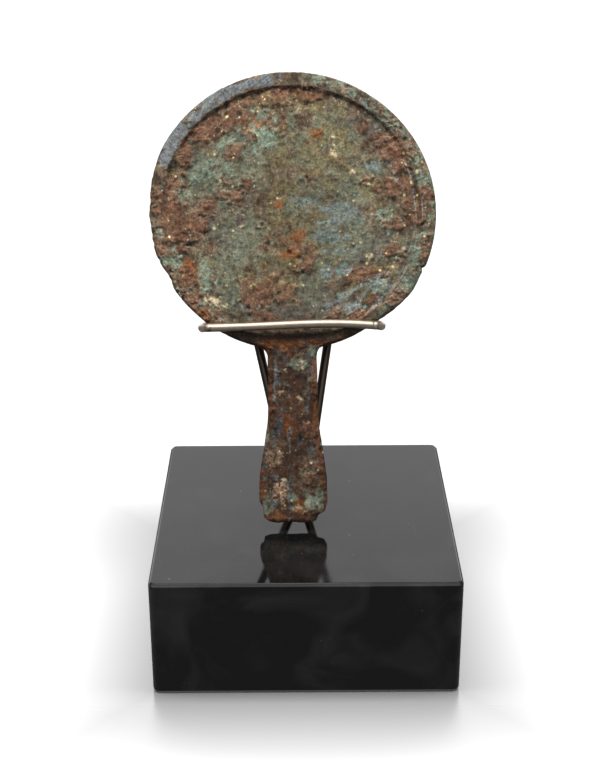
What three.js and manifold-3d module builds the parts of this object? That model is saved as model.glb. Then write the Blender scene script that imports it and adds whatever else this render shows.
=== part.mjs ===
// A cast bronze hand mirror that leans back in a cradle of bent wire, whose two legs are planted
// in a polished stone block. Millimetres, +Z up. The origin is the centre of the block's underside,
// and the mirror's polished side looks to -Y.
//
// The mirror is drawn flat, in the plate's own directions: u to the right, v up from the handle's
// end, w out of the rim's face towards the viewer. The leaning group then stands it up.
import * as THREE from 'three';
import { mergeVertices } from 'three/addons/utils/BufferGeometryUtils.js';
import Module from 'manifold-3d';

// Stone block
const BLOCK_WIDTH = 100;
const BLOCK_DEPTH = 100;
const BLOCK_HEIGHT = 41;
const BLOCK_CORNER_RADIUS = 1.6;
const BLOCK_CHAMFER = 0.9;

// How the mirror stands over the block
const LEAN_DEGREES = 32;
const MIRROR_X = -4.4;
const HANDLE_END_Y = -16.5;
const HANDLE_END_ABOVE_BLOCK = 3.2;

// Disc
const DISC_RADIUS = 50.5;
const RIM_WIDTH = 5.1;
const RIM_WALL_RUN = 1.4;
const RIM_ROLL_WIDTH = 1.5;
const RIM_ROLL_DROP = 0.5;
const PLATE_THICKNESS = 3;
const FIELD_DEPTH = 1.5;
const FIELD_CROWN = 0.25;
const BACK_EDGE_ROUND = 0.5;
const DISC_SEGMENTS = 144;

// What corrosion has taken off the disc's edge: direction in degrees, counted from the right-hand
// side as the viewer sees it, and the loss there. Between the stations the loss changes smoothly.
const EDGE_LOSS_AT_CRADLE = 1.8;
const EDGE_LOSS = [
  [-145, 1.9], [-118, EDGE_LOSS_AT_CRADLE], [-56, EDGE_LOSS_AT_CRADLE], [-34, 0], [60, 0.2], [110, 0],
  [150, 0.2], [165, 0.8], [178, 1.0], [190, 1.6], [215, 1.9],
];
const CRUMBLED_FROM = 160;
const CRUMBLED_TO = 232;
const CRUMB_DEPTH = 0.35;
const CRUMB_PITCH_DEGREES = 9;

// Handle
const HANDLE_LENGTH = 59;
const HANDLE_SHIFT = 0.5;
const NECK_WIDTH = 17;
const NECK_STARTS_AT = 40;
const GRIP_WIDTH = 23.2;
const GRIP_WIDEST_AT = 10;
const SHOULDER_RADIUS = 4;
const LONG_BEVEL_WIDTH = 3.8;
const LONG_BEVEL_DROP = 0.8;

// The handle's broken corners: height above its end, and the half width left on each side.
const LEFT_CORNER = [[0, 8.6], [1.6, 9.8], [4.9, 10.1], [8, 11.5]];
const RIGHT_CORNER = [[0, 7.6], [2.0, 8.2], [4.4, 10.7], [8, 11.5]];

// Wire cradle
const WIRE_DIAMETER = 3;
const FIT_CLEARANCE = 0.3;
const BAR_BELOW_DISC_CENTRE = 40.6;
const BAR_RISE = 0.4;
const BAR_BOW = 1;
const BAR_BOW_LEANS_RIGHT = 1.8;
const END_BEND_RADIUS = 3.2;
const END_BEND_CLIMB = 1;
const END_BEND_SLACK = 0.35;
const BACK_REST_INSET = 7.5;
const BACK_REST_RISE = 7;
const BACK_REST_RADIUS = 4;
const LEG_STANDOFF = 14;
const LEG_TOP_HALF_SPREAD = 14.9;
const LEG_TOP_ABOVE_BAR = 11;
const LEG_TOP_RADIUS = 6;
const FOOT_X = -2.1;
const FOOT_HALF_SPREAD = 2.8;
const FOOT_RISE = 6;
const FOOT_BEND_RADIUS = 7;
const FOOT_DEPTH = 14;
const WIRE_SIDES = 10;
const BAR_STATIONS = 9;
const BEND_STATIONS = 6;

// Places and sizes that follow from the ones above
const lean = THREE.MathUtils.degToRad(LEAN_DEGREES);
const wireRadius = WIRE_DIAMETER / 2;
const lowerRadius = DISC_RADIUS - EDGE_LOSS_AT_CRADLE;
const discCentreV = HANDLE_LENGTH + lowerRadius;
const barV = discCentreV - BAR_BELOW_DISC_CENTRE;

const wasm = await Module();
wasm.setup();

// Turns a closed mesh into a solid that can be joined and cut.
function solidFrom(geometry) {
  const bare = geometry.clone();
  bare.deleteAttribute('normal');
  bare.deleteAttribute('uv');
  const merged = mergeVertices(bare, 1e-4);
  return new wasm.Manifold(new wasm.Mesh({
    numProp: 3,
    vertProperties: new Float32Array(merged.attributes.position.array),
    triVerts: new Uint32Array(merged.index.array),
  }));
}

// Turns a solid back into a mesh geometry.
function geometryFrom(solid) {
  const mesh = solid.getMesh();
  const geometry = new THREE.BufferGeometry();
  geometry.setAttribute('position', new THREE.BufferAttribute(new Float32Array(mesh.vertProperties), 3));
  geometry.setIndex(new THREE.BufferAttribute(new Uint32Array(mesh.triVerts), 1));
  geometry.computeVertexNormals();
  return geometry;
}

// Reads a list of [place, value] stations at any place, easing smoothly from one to the next.
function eased(stations, place) {
  if (place <= stations[0][0]) {
    return stations[0][1];
  }
  for (let i = 1; i < stations.length; i += 1) {
    const [from, low] = stations[i - 1];
    const [to, high] = stations[i];
    if (place <= to) {
      return THREE.MathUtils.lerp(low, high, THREE.MathUtils.smoothstep(place, from, to));
    }
  }
  return stations[stations.length - 1][1];
}

// The disc's radius in a direction: the cast radius, less what corrosion took, less the crumbs
// missing from the worst stretch.
function edgeRadius(degrees) {
  const turned = degrees < EDGE_LOSS[0][0] ? degrees + 360 : degrees;
  const along = THREE.MathUtils.clamp((turned - CRUMBLED_FROM) / (CRUMBLED_TO - CRUMBLED_FROM), 0, 1);
  const crumbs = CRUMB_DEPTH * Math.sin(Math.PI * along) * Math.sin((turned / CRUMB_PITCH_DEGREES) * 2 * Math.PI);
  return DISC_RADIUS - eased(EDGE_LOSS, turned) - Math.max(crumbs, 0);
}

// The disc: a turned profile with a raised rim round a shallow field, its edge then worn back.
function discSolid() {
  const wallTop = DISC_RADIUS - RIM_WIDTH;
  const wallFoot = wallTop - RIM_WALL_RUN;
  const profile = [
    [0, -PLATE_THICKNESS],
    [DISC_RADIUS - BACK_EDGE_ROUND, -PLATE_THICKNESS],
    [DISC_RADIUS, BACK_EDGE_ROUND - PLATE_THICKNESS],
    [DISC_RADIUS, -RIM_ROLL_DROP - BACK_EDGE_ROUND],
    [DISC_RADIUS - 0.3 * RIM_ROLL_WIDTH, -RIM_ROLL_DROP],
    [DISC_RADIUS - RIM_ROLL_WIDTH, 0],
    [wallTop, 0],
    [wallFoot, -FIELD_DEPTH],
    [wallFoot / 2, FIELD_CROWN * 0.75 - FIELD_DEPTH],
    [0, FIELD_CROWN - FIELD_DEPTH],
  ].map(([radius, height]) => new THREE.Vector2(radius, height));
  const geometry = new THREE.LatheGeometry(profile, DISC_SEGMENTS);
  geometry.rotateX(Math.PI / 2);
  const place = geometry.attributes.position;
  for (let i = 0; i < place.count; i += 1) {
    const radius = Math.hypot(place.getX(i), place.getY(i));
    const degrees = THREE.MathUtils.radToDeg(Math.atan2(place.getY(i), place.getX(i)));
    const share = THREE.MathUtils.clamp((radius - wallTop) / (DISC_RADIUS - wallTop), 0, 1);
    const scale = radius > 0 ? 1 - (share * (DISC_RADIUS - edgeRadius(degrees))) / radius : 1;
    place.setX(i, place.getX(i) * scale);
    place.setY(i, place.getY(i) * scale + discCentreV);
  }
  return solidFrom(geometry);
}

// The height at which the shoulder's round leaves the neck's straight side.
const neckHalf = NECK_WIDTH / 2;
const shoulderV = discCentreV - Math.sqrt(
  (lowerRadius + SHOULDER_RADIUS) ** 2 - (neckHalf + SHOULDER_RADIUS) ** 2,
);
const shoulderEndV = discCentreV + (shoulderV - discCentreV) * (lowerRadius / (lowerRadius + SHOULDER_RADIUS));
const handleTopV = discCentreV - (DISC_RADIUS - RIM_WIDTH) - FIT_CLEARANCE;

// Half of the handle's width at height v: broken corner, swelling grip, neck, then the shoulder's
// round, which touches both the neck's side and the disc's edge.
function halfWidth(v, corner) {
  const gripStarts = corner[corner.length - 1][0];
  if (v < gripStarts) {
    return eased(corner, v) * (GRIP_WIDTH / 2 / corner[corner.length - 1][1]);
  }
  if (v > shoulderV) {
    const up = Math.min(v, shoulderEndV) - shoulderV;
    return neckHalf + SHOULDER_RADIUS - Math.sqrt(SHOULDER_RADIUS ** 2 - up ** 2);
  }
  const along = THREE.MathUtils.clamp((v - GRIP_WIDEST_AT) / (NECK_STARTS_AT - GRIP_WIDEST_AT), 0, 1);
  return THREE.MathUtils.lerp(GRIP_WIDTH / 2, neckHalf, (1 - Math.cos(Math.PI * along)) / 2);
}

// Joins rings of equally many points into one closed body: walls between rings, a fan at each end.
function loft(rings) {
  const sides = rings[0].length;
  const points = rings.flat();
  const faces = [];
  for (let r = 0; r + 1 < rings.length; r += 1) {
    for (let s = 0; s < sides; s += 1) {
      const a = r * sides + s;
      const b = r * sides + ((s + 1) % sides);
      faces.push(a, b, b + sides, a, b + sides, a + sides);
    }
  }
  const last = (rings.length - 1) * sides;
  for (let s = 1; s + 1 < sides; s += 1) {
    faces.push(0, s + 1, s, last, last + s, last + s + 1);
  }
  const geometry = new THREE.BufferGeometry();
  geometry.setAttribute('position', new THREE.Float32BufferAttribute(points.flatMap((p) => p.toArray()), 3));
  geometry.setIndex(faces);
  return geometry;
}

// The handle: a flat panel on the front between two long bevels, flat behind, flush with the rim.
function handleSolid() {
  const heights = [];
  const cornerSteps = 8;
  const gripSteps = 16;
  const shoulderSteps = 6;
  const cornerTop = LEFT_CORNER[LEFT_CORNER.length - 1][0];
  for (let i = 0; i < cornerSteps; i += 1) {
    heights.push((cornerTop * i) / cornerSteps);
  }
  for (let i = 0; i < gripSteps; i += 1) {
    heights.push(THREE.MathUtils.lerp(cornerTop, shoulderV, i / gripSteps));
  }
  for (let i = 0; i < shoulderSteps; i += 1) {
    heights.push(THREE.MathUtils.lerp(shoulderV, shoulderEndV, i / shoulderSteps));
  }
  heights.push(shoulderEndV, handleTopV);
  const rings = heights.map((v) => {
    const left = HANDLE_SHIFT - halfWidth(v, LEFT_CORNER);
    const right = HANDLE_SHIFT + halfWidth(v, RIGHT_CORNER);
    return [
      [left + BACK_EDGE_ROUND, -PLATE_THICKNESS],
      [right - BACK_EDGE_ROUND, -PLATE_THICKNESS],
      [right, BACK_EDGE_ROUND - PLATE_THICKNESS],
      [right, -LONG_BEVEL_DROP],
      [right - LONG_BEVEL_WIDTH, 0],
      [left + LONG_BEVEL_WIDTH, 0],
      [left, -LONG_BEVEL_DROP],
      [left, BACK_EDGE_ROUND - PLATE_THICKNESS],
    ].map(([u, w]) => new THREE.Vector3(u, v, w)).reverse();
  });
  return solidFrom(loft(rings));
}

function bronzeMirror() {
  return geometryFrom(discSolid().add(handleSolid()));
}

// The leaning group's own placing, used for the mirror and for the wire's route.
const leaning = new THREE.Group();
leaning.position.set(MIRROR_X, HANDLE_END_Y, BLOCK_HEIGHT + HANDLE_END_ABOVE_BLOCK);
leaning.rotation.x = Math.PI / 2 - lean;
leaning.updateMatrixWorld(true);

function fromPlate(u, v, w) {
  return new THREE.Vector3(u, v, w).applyMatrix4(leaning.matrixWorld);
}

// A wire bent round corners. Each corner has a bend radius, and a radius of 0 only passes through.
// Its stations are the ends of the straights and even steps along each bend.
class BentWire extends THREE.Curve {
  constructor(corners) {
    super();
    this.stations = [];
    corners.forEach(({ at, radius }, i) => {
      if (!radius) {
        this.stations.push(at);
        return;
      }
      const back = corners[i - 1].at.clone().sub(at).normalize();
      const ahead = corners[i + 1].at.clone().sub(at).normalize();
      const half = back.angleTo(ahead) / 2;
      const middle = back.clone().add(ahead).normalize();
      const centre = at.clone().addScaledVector(middle, radius / Math.sin(half));
      const start = at.clone().addScaledVector(back, radius / Math.tan(half)).sub(centre);
      const axis = back.clone().cross(ahead).normalize();
      for (let step = 0; step <= BEND_STATIONS; step += 1) {
        const turn = -(Math.PI - 2 * half) * (step / BEND_STATIONS);
        this.stations.push(start.clone().applyAxisAngle(axis, turn).add(centre));
      }
    });
  }

  getPoint(t, target = new THREE.Vector3()) {
    const place = t * (this.stations.length - 1);
    const i = Math.min(Math.floor(place), this.stations.length - 2);
    return target.lerpVectors(this.stations[i], this.stations[i + 1], place - i);
  }

  // Steps along the wire are counted by station, not by length.
  getUtoTmapping(u) {
    return u;
  }
}

// Where the legs' plane, behind the plate, comes down to the foot bend above the block.
const legW = -PLATE_THICKNESS - LEG_STANDOFF;
const footBendZ = BLOCK_HEIGHT + FOOT_RISE;
const footOnLegs = fromPlate(0, 0, legW);
const footY = footOnLegs.y + (footBendZ - footOnLegs.z) * Math.tan(lean);

// One side's corners, from the foot in the block up to the front bar's end. side is -1 or +1.
function cradleSide(side) {
  const frontW = wireRadius + FIT_CLEARANCE;
  const backW = -PLATE_THICKNESS - frontW;
  const endV = barV + (side * BAR_RISE) / 2;
  const reach = lowerRadius + wireRadius + FIT_CLEARANCE + END_BEND_SLACK;
  const endU = side * Math.sqrt(reach ** 2 - (discCentreV - endV) ** 2);
  const footX = FOOT_X + side * FOOT_HALF_SPREAD;
  return [
    { at: new THREE.Vector3(footX, footY, BLOCK_HEIGHT - FOOT_DEPTH), radius: 0 },
    { at: new THREE.Vector3(footX, footY, footBendZ), radius: FOOT_BEND_RADIUS },
    { at: fromPlate(side * LEG_TOP_HALF_SPREAD, barV + LEG_TOP_ABOVE_BAR, legW), radius: LEG_TOP_RADIUS },
    { at: fromPlate(endU - side * BACK_REST_INSET, endV + BACK_REST_RISE, backW), radius: BACK_REST_RADIUS },
    { at: fromPlate(endU, endV + END_BEND_CLIMB / 2, backW), radius: END_BEND_RADIUS },
    { at: fromPlate(endU, endV - END_BEND_CLIMB / 2, frontW), radius: END_BEND_RADIUS },
  ];
}

// The front bar's points between the two end bends: a straight rise with a slight upward bow,
// which is highest towards the right.
function barPoints(left, right) {
  const points = [];
  for (let i = 1; i < BAR_STATIONS; i += 1) {
    const share = i / BAR_STATIONS;
    const bow = BAR_BOW * Math.sin(Math.PI * share ** BAR_BOW_LEANS_RIGHT);
    const upPlate = new THREE.Vector3(0, Math.sin(lean), Math.cos(lean)).multiplyScalar(bow);
    points.push({ at: left.clone().lerp(right, share).add(upPlate), radius: 0 });
  }
  return points;
}

function wireCradle() {
  const left = cradleSide(-1);
  const right = cradleSide(1).reverse();
  const bar = barPoints(left[left.length - 1].at, right[0].at);
  const route = new BentWire([...left, ...bar, ...right]);
  const section = new THREE.Shape();
  for (let i = 0; i < WIRE_SIDES; i += 1) {
    const turn = (i / WIRE_SIDES) * 2 * Math.PI;
    section[i ? 'lineTo' : 'moveTo'](wireRadius * Math.cos(turn), wireRadius * Math.sin(turn));
  }
  section.closePath();
  return geometryFrom(solidFrom(new THREE.ExtrudeGeometry(section, {
    steps: route.stations.length - 1,
    extrudePath: route,
    bevelEnabled: false,
  })));
}

// The block: rounded upright corners, a fine chamfer round top and bottom, two drilled blind holes.
function stoneBlock() {
  const halfWidth = BLOCK_WIDTH / 2 - BLOCK_CHAMFER;
  const halfDepth = BLOCK_DEPTH / 2 - BLOCK_CHAMFER;
  const round = BLOCK_CORNER_RADIUS;
  const outline = new THREE.Shape();
  outline.moveTo(round - halfWidth, -halfDepth);
  outline.absarc(halfWidth - round, round - halfDepth, round, -Math.PI / 2, 0);
  outline.absarc(halfWidth - round, halfDepth - round, round, 0, Math.PI / 2);
  outline.absarc(round - halfWidth, halfDepth - round, round, Math.PI / 2, Math.PI);
  outline.absarc(round - halfWidth, round - halfDepth, round, Math.PI, 1.5 * Math.PI);
  const geometry = new THREE.ExtrudeGeometry(outline, {
    depth: BLOCK_HEIGHT - 2 * BLOCK_CHAMFER,
    bevelSize: BLOCK_CHAMFER,
    bevelThickness: BLOCK_CHAMFER,
    bevelSegments: 1,
    curveSegments: 5,
  });
  geometry.translate(0, 0, BLOCK_CHAMFER);
  let block = solidFrom(geometry);
  const holeDepth = FOOT_DEPTH + FIT_CLEARANCE;
  const drillOver = 1;
  for (const side of [-1, 1]) {
    const drill = new THREE.CylinderGeometry(
      wireRadius + FIT_CLEARANCE, wireRadius + FIT_CLEARANCE, holeDepth + drillOver, 16,
    );
    drill.rotateX(Math.PI / 2);
    drill.translate(
      FOOT_X + side * FOOT_HALF_SPREAD, footY, BLOCK_HEIGHT + (drillOver - holeDepth) / 2,
    );
    block = block.subtract(solidFrom(drill));
  }
  return geometryFrom(block);
}

// A named mesh with its own finish.
function piece(name, geometry, color, roughness, metalness) {
  const mesh = new THREE.Mesh(geometry, new THREE.MeshStandardMaterial({ color, roughness, metalness }));
  mesh.name = name;
  return mesh;
}

const model = new THREE.Group();
leaning.add(piece('bronze_mirror', bronzeMirror(), 0x5b4f3e, 0.7, 0.4));
model.add(leaning);
model.add(piece('wire_cradle', wireCradle(), 0x8d857b, 0.3, 1));
model.add(piece('stone_block', stoneBlock(), 0x161616, 0.1, 0));

export default model;
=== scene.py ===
"""A cast bronze hand mirror, corroded, that leans back in a cradle of bent wire whose two legs are
planted in a block of polished black stone.

Lengths are millimetres until a mesh is made, and the frame's own metres after that. The mirror is
worked out flat, in the plate's own directions: u to the right, v up from the handle's end, w out of
the rim's face towards the viewer. from_plate() then stands it up over the block.
"""
import itertools
import math

import bmesh
import bpy
import numpy as np
from mathutils import Matrix, Vector


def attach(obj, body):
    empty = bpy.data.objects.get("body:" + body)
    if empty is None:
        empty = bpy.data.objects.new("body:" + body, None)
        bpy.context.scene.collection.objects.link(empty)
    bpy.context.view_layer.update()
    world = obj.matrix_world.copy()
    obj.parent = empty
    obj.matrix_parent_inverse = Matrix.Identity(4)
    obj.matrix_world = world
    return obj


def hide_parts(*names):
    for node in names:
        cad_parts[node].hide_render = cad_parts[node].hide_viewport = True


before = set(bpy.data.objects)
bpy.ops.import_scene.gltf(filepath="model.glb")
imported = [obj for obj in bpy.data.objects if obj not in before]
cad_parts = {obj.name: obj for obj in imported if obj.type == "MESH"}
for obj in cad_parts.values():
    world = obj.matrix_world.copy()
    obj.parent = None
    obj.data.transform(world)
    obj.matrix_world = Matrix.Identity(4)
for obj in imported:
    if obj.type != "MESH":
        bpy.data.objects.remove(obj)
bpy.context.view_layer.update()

MM = 0.001
# Repeats in a metre of a pattern that is one millimetre wide
PER_MM = 1000

# Camera: millimetres and degrees
CAMERA_PLACE = (-2.60, -445.14, 284.31)
CAMERA_YAW = 0.143
CAMERA_PITCH = 23.728
CAMERA_ROLL = -0.241
CAMERA_SENSOR_HEIGHT = 36
CAMERA_LENS = 68.81

# How the mirror stands over the block
BLOCK_HEIGHT = 41.0
LEAN = math.radians(32)
MIRROR_X = -4.4
HANDLE_END_Y = -16.5
HANDLE_END_ABOVE_BLOCK = 3.2

# Disc
DISC_RADIUS = 50.5
RIM_WIDTH = 5.1
RIM_WALL_RUN = 1.4
RIM_ROLL_WIDTH = 1.5
RIM_ROLL_DROP = 1.0
PLATE_THICKNESS = 3.0
FIELD_DEPTH = 1.5
FIELD_CROWN = 0.25
# The wall's rows: how far each is drawn in from the outline, and how deep below the rim it lies
WALL_ROWS = [(-0.02, -1.45), (0.0, -1.9), (0.04, -2.35), (0.15, -2.7), (0.5, -PLATE_THICKNESS)]
BACK_INSET = 1.2
BACK_PATCHES_MOVED = (9, 3)
EDGE_LOSS_AT_CRADLE = 1.8
EDGE_LOSS = [
    (-145, 1.9), (-118, EDGE_LOSS_AT_CRADLE), (-56, EDGE_LOSS_AT_CRADLE), (-34, 0.0), (60, 0.2),
    (110, 0.0), (150, 0.2), (165, 0.8), (178, 1.0), (190, 1.6), (215, 1.9),
]
CRUMBLED_ARC = (155, 178, 236, 252)
RIPPLED_ARC = (-70, -52, -48, -20)
NICK_AT = -24.2
NICK_DEPTH = 0.9

# Handle
HANDLE_LENGTH = 59.0
HANDLE_SHIFT = 0.5
NECK_WIDTH = 17.0
NECK_STARTS_AT = 40.0
GRIP_WIDTH = 23.2
GRIP_WIDEST_AT = 10.0
SHOULDER_RADIUS = 4.0
LONG_BEVEL_WIDTH = 3.8
LONG_BEVEL_DROP = 0.8
LEFT_CORNER = [(0.0, 8.6), (1.6, 9.8), (4.9, 10.1), (8.0, 11.5)]
RIGHT_CORNER = [(0.0, 7.6), (2.0, 8.2), (4.4, 10.7), (8.0, 11.5)]

# Wire cradle
WIRE_DIAMETER = 3.0
FIT_CLEARANCE = 0.3
BAR_BELOW_DISC_CENTRE = 40.6
BAR_RISE = 0.4
BAR_BOW = 1.0
BAR_BOW_LEANS_RIGHT = 1.8
END_BEND_RADIUS = 3.2
END_BEND_CLIMB = 1.0
END_BEND_SLACK = 0.35
BACK_REST_INSET = 7.5
BACK_REST_RISE = 7.0
BACK_REST_RADIUS = 4.0
LEG_STANDOFF = 14.0
LEG_TOP_HALF_SPREAD = 14.9
LEG_TOP_ABOVE_BAR = 11.0
LEG_TOP_RADIUS = 6.0
FOOT_X = -2.1
FOOT_HALF_SPREAD = 2.8
FOOT_RISE = 6.0
FOOT_BEND_RADIUS = 7.0
FOOT_DEPTH = 14.0
# How far behind the plate the wire starts to be darkened by painted shade, and how far it is wholly
# darkened.
SHADE_FROM_BEHIND = 4.0
SHADE_FULL_BEHIND = 9.0
WIRE_SIDES = 28
BEND_STEP_DEGREES = 5.0
BAR_STATIONS = 72

# Stone block and the floor under it
ARRIS = 0.2
FLOOR_REACH = 3000.0

# Places that follow from the sizes above
LOWER_RADIUS = DISC_RADIUS - EDGE_LOSS_AT_CRADLE
DISC_CENTRE_V = HANDLE_LENGTH + LOWER_RADIUS
BAR_V = DISC_CENTRE_V - BAR_BELOW_DISC_CENTRE
WIRE_RADIUS = WIRE_DIAMETER / 2
WALL_TOP = DISC_RADIUS - RIM_WIDTH
WALL_FOOT = WALL_TOP - RIM_WALL_RUN
NECK_HALF = NECK_WIDTH / 2
SHOULDER_U = NECK_HALF + SHOULDER_RADIUS
SHOULDER_REACH = LOWER_RADIUS + SHOULDER_RADIUS
SHOULDER_V = DISC_CENTRE_V - math.sqrt(SHOULDER_REACH ** 2 - SHOULDER_U ** 2)
JOIN_HALF_ANGLE = math.asin(SHOULDER_U / SHOULDER_REACH)

# The mirror's mesh: rings of the disc's front, columns over half of the handle, rows down it. The
# rings' radii are read at shares of their count, closest at the rim's wall and edge.
RINGS = 116
RING_SHARES = [0, 0.79, 0.865, 0.955, 1]
RING_RADII = [0, WALL_FOOT - 0.5, WALL_TOP + 0.3, 49.2, DISC_RADIUS]
HANDLE_HALF_COLUMNS = 2 * round(RINGS * JOIN_HALF_ANGLE / (math.pi / 4) / 2)
HANDLE_ROWS = 150


def from_plate(points):
    """Stands plate points (u, v, w) up: v leans back from upright by LEAN, w looks down the lean."""
    u, v, w = np.asarray(points, float).T
    return np.stack([
        MIRROR_X + u,
        HANDLE_END_Y + v * math.sin(LEAN) - w * math.cos(LEAN),
        BLOCK_HEIGHT + HANDLE_END_ABOVE_BLOCK + v * math.cos(LEAN) + w * math.sin(LEAN),
    ], axis=-1)


def eased(stations, place):
    """Reads (place, value) stations at any places, easing smoothly from each one to the next."""
    at, value = np.array(stations, float).T
    i = np.clip(np.searchsorted(at, place, side="right") - 1, 0, len(at) - 2)
    share = np.clip((place - at[i]) / (at[i + 1] - at[i]), 0, 1)
    return value[i] + (value[i + 1] - value[i]) * share * share * (3 - 2 * share)


def hashed(cells, seed):
    """A number from 0 to 1 for each row of whole numbers: they are multiplied by large primes and
    added, and the sum's bits are folded into each other twice."""
    mixed = (cells.astype(np.int64) * (73856093, 19349663, 83492791)).sum(-1) + seed * 668265263
    mixed = ((mixed ^ (mixed >> 13)) * 1274126177) & 0xFFFFFFFF
    mixed = ((mixed ^ (mixed >> 15)) * 974634777) & 0xFFFFFFFF
    return (mixed >> 8) / 0xFFFFFF


def noise(points, size, seed, octaves=3, keep=0.5):
    """Smooth noise from about 0 to 1: every corner of a cell has a hashed number, eased between the
    corners, and each further octave is half as large and keeps that share of the strength."""
    total = np.zeros(points.shape[:-1])
    weight_sum = 0.0
    for octave in range(octaves):
        scaled = points / (size * 0.5 ** octave)
        cell = np.floor(scaled).astype(np.int64)
        share = scaled - cell
        share = share * share * (3 - 2 * share)
        layer = np.zeros(points.shape[:-1])
        for corner in itertools.product((0, 1), repeat=3):
            weight = np.where(corner, share, 1 - share).prod(axis=-1)
            layer += weight * hashed(cell + corner, seed + octave)
        total += layer * keep ** octave
        weight_sum += keep ** octave
    return total / weight_sum


def grains(points, size, seed):
    """Packed round grains: each flat cell holds one grain at a hashed place. Gives the dome's height
    over the nearest grain, from 0 in the gaps to 1 on top, and that grain's own hashed number."""
    flat = points[:, :2] / size
    cell = np.floor(flat).astype(np.int64)
    nearest = np.full(len(points), 9.0)
    own = np.zeros(len(points))
    for step in itertools.product((-1, 0, 1), repeat=2):
        home = np.concatenate([cell + step, np.zeros((len(points), 1), np.int64)], axis=1)
        across = home[:, 0] + 0.15 + 0.7 * hashed(home, seed) - flat[:, 0]
        along = home[:, 1] + 0.15 + 0.7 * hashed(home, seed + 1) - flat[:, 1]
        far = np.hypot(across, along)
        own = np.where(far < nearest, hashed(home, seed + 2), own)
        nearest = np.minimum(far, nearest)
    return np.sqrt(np.clip(1 - (nearest / 0.75) ** 2, 0, 1)), own


def step_up(low, high, value):
    """Eases from 0 to 1 as value goes from low to high."""
    share = np.clip((value - low) / (high - low), 0, 1)
    return share * share * (3 - 2 * share)


def within(value, bounds):
    """1 between the two middle bounds, easing to 0 at the outer two."""
    start, full, fading, end = bounds
    return step_up(start, full, value) * (1 - step_up(fading, end, value))


def line(value, at, half_width):
    """A soft line: 1 where value is at its place, falling to each side as a bell curve."""
    return np.exp(-((value - at) / half_width) ** 2)


def flat_points(u, v):
    """Places for the noise, from two arrays of coordinates in the plate."""
    return np.stack([u, v, u * 0], -1)


def add_layer(piece, name, values):
    """Keeps one number for each of a piece's points, for its material to read by that name."""
    layer = piece.data.attributes.new(name, "FLOAT", "POINT")
    layer.data.foreach_set("value", values.astype(np.float32))


def mesh_piece(name, points, quads, triangles=()):
    """Puts points in millimetres and faces in whole arrays into a smooth mesh object at the origin."""
    quads = np.asarray(quads, np.int32).reshape(-1, 4)
    triangles = np.asarray(triangles, np.int32).reshape(-1, 3)
    corners = np.concatenate([quads.ravel(), triangles.ravel()])
    sizes = np.concatenate([np.full(len(quads), 4), np.full(len(triangles), 3)]).astype(np.int32)
    mesh = bpy.data.meshes.new(name)
    mesh.vertices.add(len(points))
    mesh.vertices.foreach_set("co", (np.asarray(points) * MM).astype(np.float32).ravel())
    mesh.loops.add(len(corners))
    mesh.loops.foreach_set("vertex_index", corners)
    mesh.polygons.add(len(sizes))
    mesh.polygons.foreach_set("loop_start", (np.cumsum(sizes) - sizes).astype(np.int32))
    mesh.update(calc_edges=True)
    mesh.shade_smooth()
    piece = bpy.data.objects.new(name, mesh)
    bpy.context.scene.collection.objects.link(piece)
    return piece


def linear(hex_colour):
    """Turns an sRGB hex colour such as #726858 into linear red, green, blue and an alpha of 1."""
    parts = [int(hex_colour[i:i + 2], 16) / 255 for i in (1, 3, 5)]
    return (*(p / 12.92 if p <= 0.04045 else ((p + 0.055) / 1.055) ** 2.4 for p in parts), 1.0)


def new_material(name):
    """An empty material with a Principled shader; gives the material, its tree and the shader."""
    material = bpy.data.materials.new(name)
    material.use_nodes = True
    tree = material.node_tree
    shader = tree.nodes["Principled BSDF"]
    return material, tree, shader


def feed(tree, node, inputs):
    """Fills a node's live inputs, given by name or as a row in the node's own order: another node's
    output is linked, and anything else is set as a value."""
    live = [socket for socket in node.inputs if socket.enabled]
    if isinstance(inputs, dict):
        by_name = {socket.name: socket for socket in live}
        live = [by_name[name] for name in inputs]
        inputs = inputs.values()
    for socket, value in zip(live, inputs):
        if isinstance(value, bpy.types.NodeSocket):
            tree.links.new(value, socket)
        else:
            socket.default_value = value


def add(tree, kind, inputs=None, out=None, stops=None, **settings):
    """Adds one node: its settings, a colour ramp's stops, then its inputs. Gives the named output, or
    the first live one."""
    node = tree.nodes.new("ShaderNode" + kind)
    for name, value in settings.items():
        setattr(node, name, value)
    for i, (place, colour) in enumerate(stops or ()):
        stop = node.color_ramp.elements[i] if i < 2 else node.color_ramp.elements.new(place)
        stop.position = place
        stop.color = colour
    feed(tree, node, inputs or {})
    return node.outputs[out] if out else next(s for s in node.outputs if s.enabled)


# Camera


def make_camera():
    """The photograph's viewing point: in front of the block, a little left, looking down on it."""
    place = Vector(CAMERA_PLACE) * MM
    yaw, pitch, roll = (math.radians(a) for a in (CAMERA_YAW, CAMERA_PITCH, CAMERA_ROLL))
    ahead = Vector((math.sin(yaw) * math.cos(pitch), math.cos(yaw) * math.cos(pitch), -math.sin(pitch)))
    level_right = Vector((math.cos(yaw), -math.sin(yaw), 0))
    level_up = level_right.cross(ahead)
    right = level_right * math.cos(roll) + level_up * math.sin(roll)
    up = level_up * math.cos(roll) - level_right * math.sin(roll)
    camera = bpy.data.objects.new("camera", bpy.data.cameras.new("camera"))
    bpy.context.scene.collection.objects.link(camera)
    camera.matrix_world = Matrix((
        (right.x, up.x, -ahead.x, place.x),
        (right.y, up.y, -ahead.y, place.y),
        (right.z, up.z, -ahead.z, place.z),
        (0, 0, 0, 1),
    ))
    camera.data.sensor_fit = "VERTICAL"
    camera.data.sensor_height = CAMERA_SENSOR_HEIGHT
    camera.data.lens = CAMERA_LENS
    bpy.context.scene.camera = camera


# Mirror


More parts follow.
